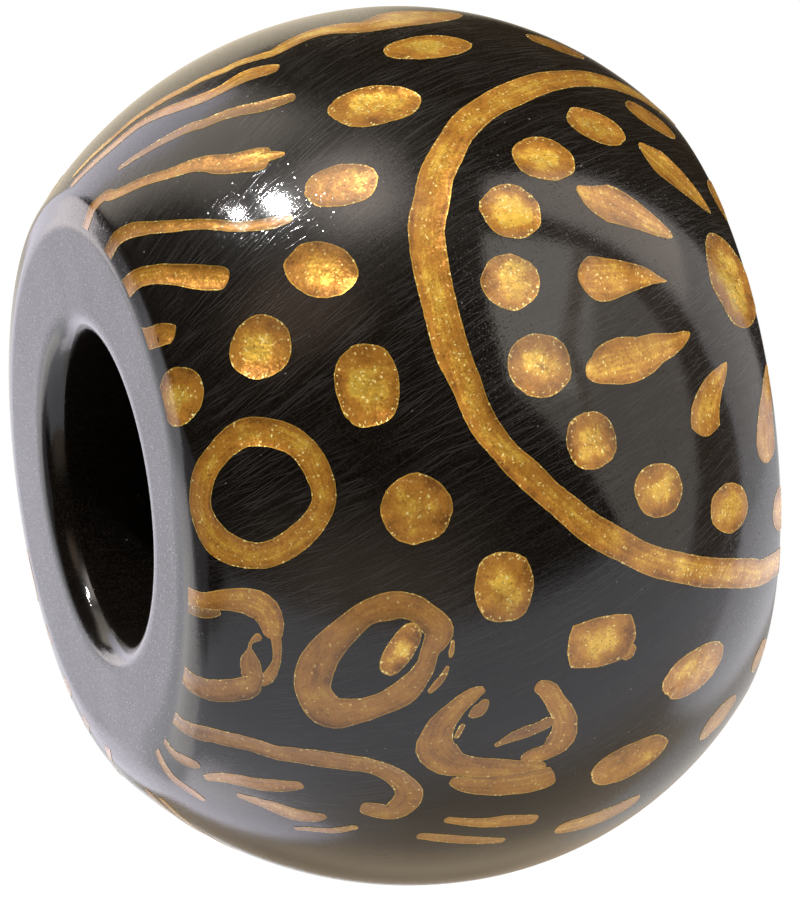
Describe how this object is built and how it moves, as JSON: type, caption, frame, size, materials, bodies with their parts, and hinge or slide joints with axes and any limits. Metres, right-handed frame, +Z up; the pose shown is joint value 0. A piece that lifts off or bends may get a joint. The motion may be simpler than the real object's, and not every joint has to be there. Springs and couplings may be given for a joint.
{
  "type": "dreadlock bead",
  "caption": "Black barrel bead with a rounded bore for a dreadlock, its side let in with gold dots, rings, petals and strokes.",
  "frame": {"origin": "centre of the lower flat end, on the bore's axis", "axes": "+Z up along the bore; -Y towards the side that the picture shows; azimuths run from -Y towards +X"},
  "size_m": [0.016, 0.016, 0.011],
  "materials": {
    "black_resin": "black, polished and clear-varnished, with fine scratches",
    "gold_inlay": "gold mica in clear resin, speckled, under the same varnish"
  },
  "bodies": {
    "root": {"bead_body": "black_resin", "gold_bands": "gold_inlay", "gold_rings": "gold_inlay", "gold_dots": "gold_inlay", "gold_petals": "gold_inlay", "gold_strokes": "gold_inlay"}
  },
  "joints": []
}
